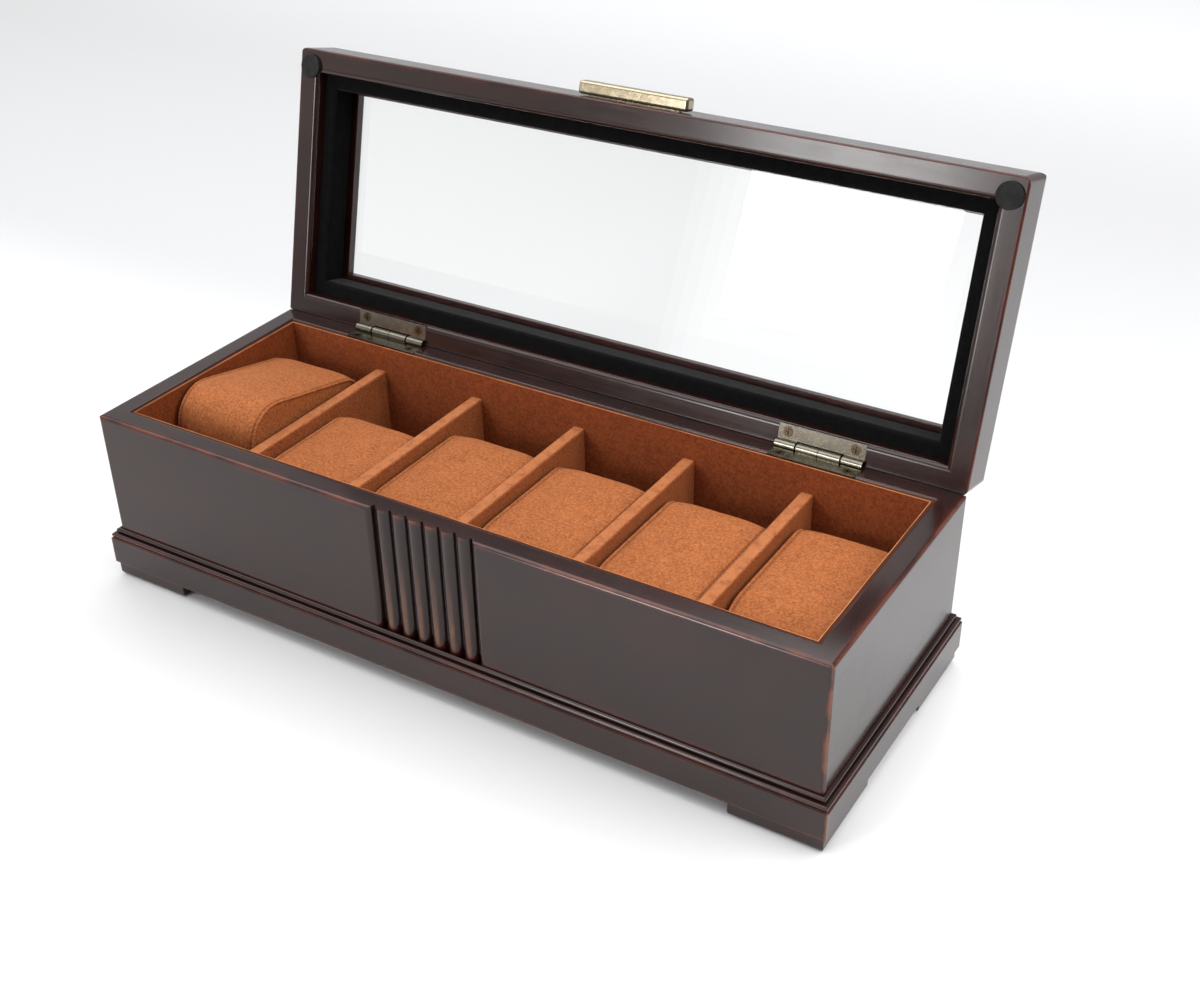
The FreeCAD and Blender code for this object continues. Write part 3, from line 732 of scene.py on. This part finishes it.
def pillowMesh(name, low, high, form):
    half = (high.x - low.x) / 2
    middle = (high.x + low.x) / 2
    steps = [d * mm for d in seam["columns"]]
    acrosses = [-half + d for d in steps] + [0.0] + [half - d for d in reversed(steps)]
    mesh = bmesh.new()
    pins = mesh.verts.layers.float.new("pinned")
    rings = []
    for across in acrosses:
        share = abs(across) / half
        full = 1 - share ** form["fullness"]
        grow = (form["crown"] - form["slack"]) * full
        lift = form["crown"] * (1 - full) / 2
        loop = pillowLoop(form, low, high, grow, lift)
        ring = [mesh.verts.new((middle + across, p.x, p.y)) for p in loop]
        depth = half - abs(across)
        held = 1 - (depth - seam["pinned"]) / (seam["freeFrom"] - seam["pinned"])
        for vert in ring:
            vert[pins] = min(1.0, max(0.0, held))
        rings.append(ring)
    count = len(rings[0])
    for one, two in zip(rings, rings[1:]):
        for j in range(count):
            mesh.faces.new((one[j], one[j - 1], two[j - 1], two[j]))
    for ring, sign in ((rings[0], 1), (rings[-1], -1)):   # the two end panels, sunk inside the seam
        loop = [Vector((v.co.y, v.co.z)) for v in ring]
        normals = loopNormals(loop)
        end = ring[0].co.x
        last = ring
        rim = None
        inner = []
        for inset, sunk in seam["panel"]:
            rim = [p - n * inset * mm for p, n in zip(loop, normals)]
            inner.append((rim, end + sign * sunk * mm))
        heart = sum(rim, Vector((0, 0))) / count
        inner += [([heart.lerp(p, s) for p in rim], inner[-1][1]) for s in seam["rings"]]
        for points, x in inner:
            now = [mesh.verts.new((x, p.x, p.y)) for p in points]
            for j in range(count):
                quad = (last[j], last[j - 1], now[j - 1], now[j])
                mesh.faces.new(quad if sign < 0 else tuple(reversed(quad)))
            last = now
            for vert in now:
                vert[pins] = 1.0
        centre = mesh.verts.new((inner[-1][1], heart.x, heart.y))
        centre[pins] = 1.0
        for j in range(count):
            fan = (last[j], last[j - 1], centre)
            mesh.faces.new(fan if sign < 0 else tuple(reversed(fan)))
    bmesh.ops.recalc_face_normals(mesh, faces=mesh.faces)
    made = bpy.data.meshes.new(name)
    mesh.to_mesh(made)
    mesh.free()
    piece = bpy.data.objects.new(name, made)
    scene.collection.objects.link(piece)
    return piece, count, len(rings)


def swell(piece, form):   # stuffing pushes the wrap out; the seams and end panels hold
    start = [v.co.copy() for v in piece.data.vertices]
    held = piece.vertex_groups.new(name="held")
    for i, value in enumerate(piece.data.attributes["pinned"].data):
        held.add([i], value.value, "REPLACE")
    centre = sum(start, Vector()) / len(start)
    for vert in piece.data.vertices:
        vert.co = (vert.co - centre) * clothRun["enlarge"]
    cloth = piece.modifiers.new("stuffing", "CLOTH")
    cloth.settings.quality = clothRun["quality"]
    cloth.settings.mass = clothRun["mass"]
    cloth.settings.use_pressure = True
    cloth.settings.uniform_pressure_force = clothRun["pressure"]
    cloth.settings.vertex_group_mass = "held"
    cloth.settings.effector_weights.gravity = 0.0
    cloth.collision_settings.use_collision = False
    cloth.point_cache.frame_end = clothRun["frames"]
    for step in range(1, clothRun["frames"] + 1):
        scene.frame_set(step)
    settled = piece.evaluated_get(bpy.context.evaluated_depsgraph_get())
    ends = [v.co / clothRun["enlarge"] + centre for v in settled.data.vertices]
    piece.modifiers.remove(cloth)
    scene.frame_set(1)
    piece.vertex_groups.remove(held)
    most = form["slack"]
    reach = 0.0
    for vert, was, now in zip(piece.data.vertices, start, ends):
        push = now - was
        reach = max(reach, push.length)
        if push.length > most:
            push *= most / push.length
        vert.co = was + push
    return reach


def finishPillow(piece, low, high, count, columns, seed):   # softness, rolled seam, flat foot and the painted shade in the seam's groove
    half = (high.x - low.x) / 2
    middle = (high.x + low.x) / 2
    piece.data.update()
    normals = [v.normal.copy() for v in piece.data.vertices]
    wave = Vector([seed * step for step in softness["apart"]])
    paintedGrooveShade = piece.data.attributes.new("paintedGrooveShade", "FLOAT", "POINT").data
    for vert, normal in zip(piece.data.vertices, normals):
        if vert.index >= count * columns:
            continue
        depth = half - abs(vert.co.x - middle)
        outward = Vector((0, normal.y, normal.z))
        soft = noise.noise(vert.co * softness["scale"] + wave) * softness["depth"]
        soft *= min(1, depth / softness["fadeIn"])
        ridge = seam["ridge"] * math.exp(-((depth - seam["ridgeAt"]) / seam["ridgeWide"]) ** 2)
        groove = seam["groove"] * math.exp(-((depth - seam["grooveAt"]) / seam["grooveWide"]) ** 2)
        # painted shade along the seam's groove, kept in a mesh attribute for the cloth's colour
        shade = math.exp(-((depth - seam["grooveAt"]) / seam["darkWide"]) ** 2)
        paintedGrooveShade[vert.index].value = seam["dark"] * shade
        if outward.length > 0:
            vert.co += outward.normalized() * (soft + ridge - groove)
        vert.co.z = max(vert.co.z, low.z)
    piece.data.update()
    for polygon in piece.data.polygons:
        polygon.use_smooth = True


def stitchRow(name, loops):   # short sewn stitches laid along the grooves
    mesh = bmesh.new()
    for loop, outs in loops:
        points = loop + loop[:1]
        lengths = [(b - a).length for a, b in zip(points, points[1:])]
        total = sum(lengths)
        number = round(total / (stitch["length"] + stitch["gap"]))
        for k in range(number):
            at = total * k / number
            i = 0
            while at > lengths[i]:
                at -= lengths[i]
                i += 1
            along = (points[i + 1] - points[i]).normalized()
            out = outs[i]
            place = points[i].lerp(points[i + 1], at / lengths[i]) + out * stitch["lift"]
            addStitch(mesh, place, along, out, along.cross(out))
    made = bpy.data.meshes.new(name)
    mesh.to_mesh(made)
    mesh.free()
    for polygon in made.polygons:
        polygon.use_smooth = True
    piece = bpy.data.objects.new(name, made)
    scene.collection.objects.link(piece)
    return piece


def addStitch(mesh, place, along, out, across):
    rings = []
    for share, fat in stitch["profile"]:
        sink = out * (stitch["radius"] * stitch["dive"] * (share / 0.5) ** 2)
        centre = place + along * (share * stitch["length"]) - sink
        ring = []
        for k in range(stitch["sides"]):
            angle = 2 * math.pi * k / stitch["sides"]
            spoke = out * math.cos(angle) + across * math.sin(angle)
            ring.append(mesh.verts.new(centre + spoke * stitch["radius"] * fat))
        rings.append(ring)
    for one, two in zip(rings, rings[1:]):
        for k in range(stitch["sides"]):
            mesh.faces.new((one[k - 1], one[k], two[k], two[k - 1]))
    mesh.faces.new(list(reversed(rings[0])))
    mesh.faces.new(rings[-1])


def makePillow(number):
    node = "pillow_" + str(number)
    low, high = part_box(node)
    form = proudForm if number == 1 else pillowForm
    piece, count, columns = pillowMesh("suede_" + node, low, high, form)
    reach = swell(piece, form)
    finishPillow(piece, low, high, count, columns, number)
    piece.data.materials.append(pillowSuede)
    smooth = piece.modifiers.new("smooth", "SUBSURF")
    smooth.levels = 1
    smooth.render_levels = 1
    grooveColumn = seam["columns"].index(seam["grooveAt"] / mm)
    loops = []
    for column in (grooveColumn, columns - 1 - grooveColumn):
        verts = list(piece.data.vertices)[column * count:(column + 1) * count]
        outs = [Vector((0, v.normal.y, v.normal.z)).normalized() for v in verts]
        loops.append(([v.co.copy() for v in verts], outs))
    thread = stitchRow("stitching_" + node, loops)
    thread.data.materials.append(pillowThread)
    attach(piece, node)
    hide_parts(node)
    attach(thread, node)
    print(node, "swelled by", round(reach / mm, 2), "mm")


for number in places:
    makePillow(number)


# Floor, light and camera
studio = {
    "floorHalf": 6.0,
    "floorCells": 8,
    "floor": (0.86, 0.86, 0.865, 1.0),
    "paintedNearShadow": (0.72, 0.72, 0.72, 1.0),    # painted shadow, greyer in front of the box
    "nearFrom": (-0.04, -0.13),
    "floorEnd": (0.30, 0.30, 0.30, 1.0),     # falls into shade well in front of it
    "endsAt": (-0.8, -1.8),
    "paintedFarShade": (0.645, 0.645, 0.65, 1.0),   # painted shade, greyer behind it
    "farFrom": (0.02, 0.20),
    "floorBack": (0.86, 0.86, 0.87, 1.0),    # pale again far back
    "backFrom": (0.5, 0.95),
    "tooth": (900.0, 2.0),
    "paperGloss": (0.2, 0.8, 0.45, 0.6),
    "backdrop": (0.42, 0.42, 0.43, 1.0),   # dim wall behind the pale table
    "room": (0.17, 0.165, 0.16, 1.0),      # dark room behind the camera
    "leftWall": (1.00, 0.97, 0.94, 1.0),   # light wall at the left of the room
    "rearLeft": (1.00, 1.00, 1.00, 1.0),   # light wall at the rear left
    "zenith": (0.36, 0.37, 0.38, 1.0),
    "leftFrom": (-0.35, -0.62),            # directions between which these shades blend
    "rearLeftFrom": (-0.4, -0.7),
    "rearFrom": (-0.25, 0.45),
    "zenithFrom": (0.25, 0.75),
    "exposure": 0.0,
}
lamps = {   # place, aim, width, height, watts
    "skyPanel": ((-0.30, 0.15, 1.8), (0, 0, 0), 3.0, 2.2, 49.0),
    "frontFill": ((-0.405, -1.10, 0.37), (0.10, 0.05, 0.16), 0.40, 0.52, 0.5),
    "windowPanes": ((-0.345, -1.10, 0.36), (0.16, 0.05, 0.15), 0.25, 0.50, 4.3),
    "windowEdge1": ((-0.345, -1.11, 0.36), (0.16, 0.05, 0.15), 0.29, 0.56, 0.15),
    "windowEdge2": ((-0.345, -1.12, 0.36), (0.16, 0.05, 0.15), 0.33, 0.62, 0.19),
    "windowEdge3": ((-0.345, -1.13, 0.36), (0.16, 0.05, 0.15), 0.37, 0.68, 0.23),
    "windowEdge4": ((-0.345, -1.14, 0.36), (0.16, 0.05, 0.15), 0.41, 0.74, 0.28),
    "sideFill": ((0.50, 0.02, 0.42), (0.20, 0.05, 0), 0.4, 0.4, 2.2),
}
unreflected = ("frontFill", "sideFill")   # fill light, kept out of reflections
view = {
    "place": Vector((0.31236, -0.458783, 0.39036)),
    "aim": Vector((0.04316, -0.027015, 0.07238)),
    "roll": -0.945,
    "lens": 47.3,
    "sensor": 36.0,
    "clip": (0.01, 50.0),
}


def makeFloor():
    mesh = bmesh.new()
    bmesh.ops.create_grid(mesh, x_segments=studio["floorCells"],
                          y_segments=studio["floorCells"], size=studio["floorHalf"])
    made = bpy.data.meshes.new("studioFloor")
    mesh.to_mesh(made)
    mesh.free()
    floor = bpy.data.objects.new("studioFloor", made)
    scene.collection.objects.link(floor)
    material, tree, principled, position = newMaterial("floorPaper")
    tooth = noiseAt(tree, position, *studio["tooth"])
    ahead = addNode(tree, "ShaderNodeSeparateXYZ", {"Vector": position}).outputs["Y"]
    paper = studio["floor"]
    for start, shade in (("nearFrom", "paintedNearShadow"), ("farFrom", "paintedFarShade"),
                         ("backFrom", "floorBack"), ("endsAt", "floorEnd")):
        paper = mixColour(tree, ease(tree, ahead, *studio[start]), paper, studio[shade])
    plug(tree, principled.inputs["Base Color"], paper)
    plug(tree, principled.inputs["Roughness"], ease(tree, tooth, *studio["paperGloss"]))
    made.materials.append(material)


def makeLamp(name, place, aim, width, height, watts):
    lamp = bpy.data.lights.new(name, "AREA")
    lamp.shape = "RECTANGLE"
    lamp.size = width
    lamp.size_y = height
    lamp.energy = watts
    holder = bpy.data.objects.new(name, lamp)
    holder.location = place
    holder.rotation_mode = "QUATERNION"
    holder.rotation_quaternion = (Vector(aim) - Vector(place)).to_track_quat("-Z", "Y")
    holder.visible_camera = False
    holder.visible_glossy = name not in unreflected
    holder.visible_transmission = name not in unreflected
    scene.collection.objects.link(holder)


def makeWorld():
    world = bpy.data.worlds.new("studioWorld")
    world.use_nodes = True
    tree = world.node_tree
    back = next(n for n in tree.nodes if n.type == "BACKGROUND")
    direction = tree.nodes.new("ShaderNodeTexCoord").outputs["Generated"]
    way = addNode(tree, "ShaderNodeSeparateXYZ", {"Vector": direction}).outputs
    leftward = ease(tree, way["X"], *studio["leftFrom"])
    room = mixColour(tree, leftward, studio["room"], studio["leftWall"])
    rearLeft = ease(tree, way["X"], *studio["rearLeftFrom"])
    backdrop = mixColour(tree, rearLeft, studio["backdrop"], studio["rearLeft"])
    around = mixColour(tree, ease(tree, way["Y"], *studio["rearFrom"]), room, backdrop)
    overhead = ease(tree, way["Z"], *studio["zenithFrom"])
    plug(tree, back.inputs["Color"], mixColour(tree, overhead, around, studio["zenith"]))
    scene.world = world
    scene.view_settings.view_transform = "Standard"
    scene.view_settings.exposure = studio["exposure"]


def makeCamera():
    camera = bpy.data.objects.new("photoView", bpy.data.cameras.new("photoView"))
    camera.data.lens = view["lens"]
    camera.data.sensor_width = view["sensor"]
    camera.data.clip_start, camera.data.clip_end = view["clip"]
    camera.location = view["place"]
    camera.rotation_mode = "QUATERNION"
    look = (view["aim"] - view["place"]).to_track_quat("-Z", "Y")
    camera.rotation_quaternion = look @ Quaternion((0, 0, 1), math.radians(view["roll"]))
    scene.collection.objects.link(camera)
    scene.camera = camera


makeFloor()
for name, settings in lamps.items():
    makeLamp(name, *settings)
makeWorld()
makeCamera()
print("studio ready")
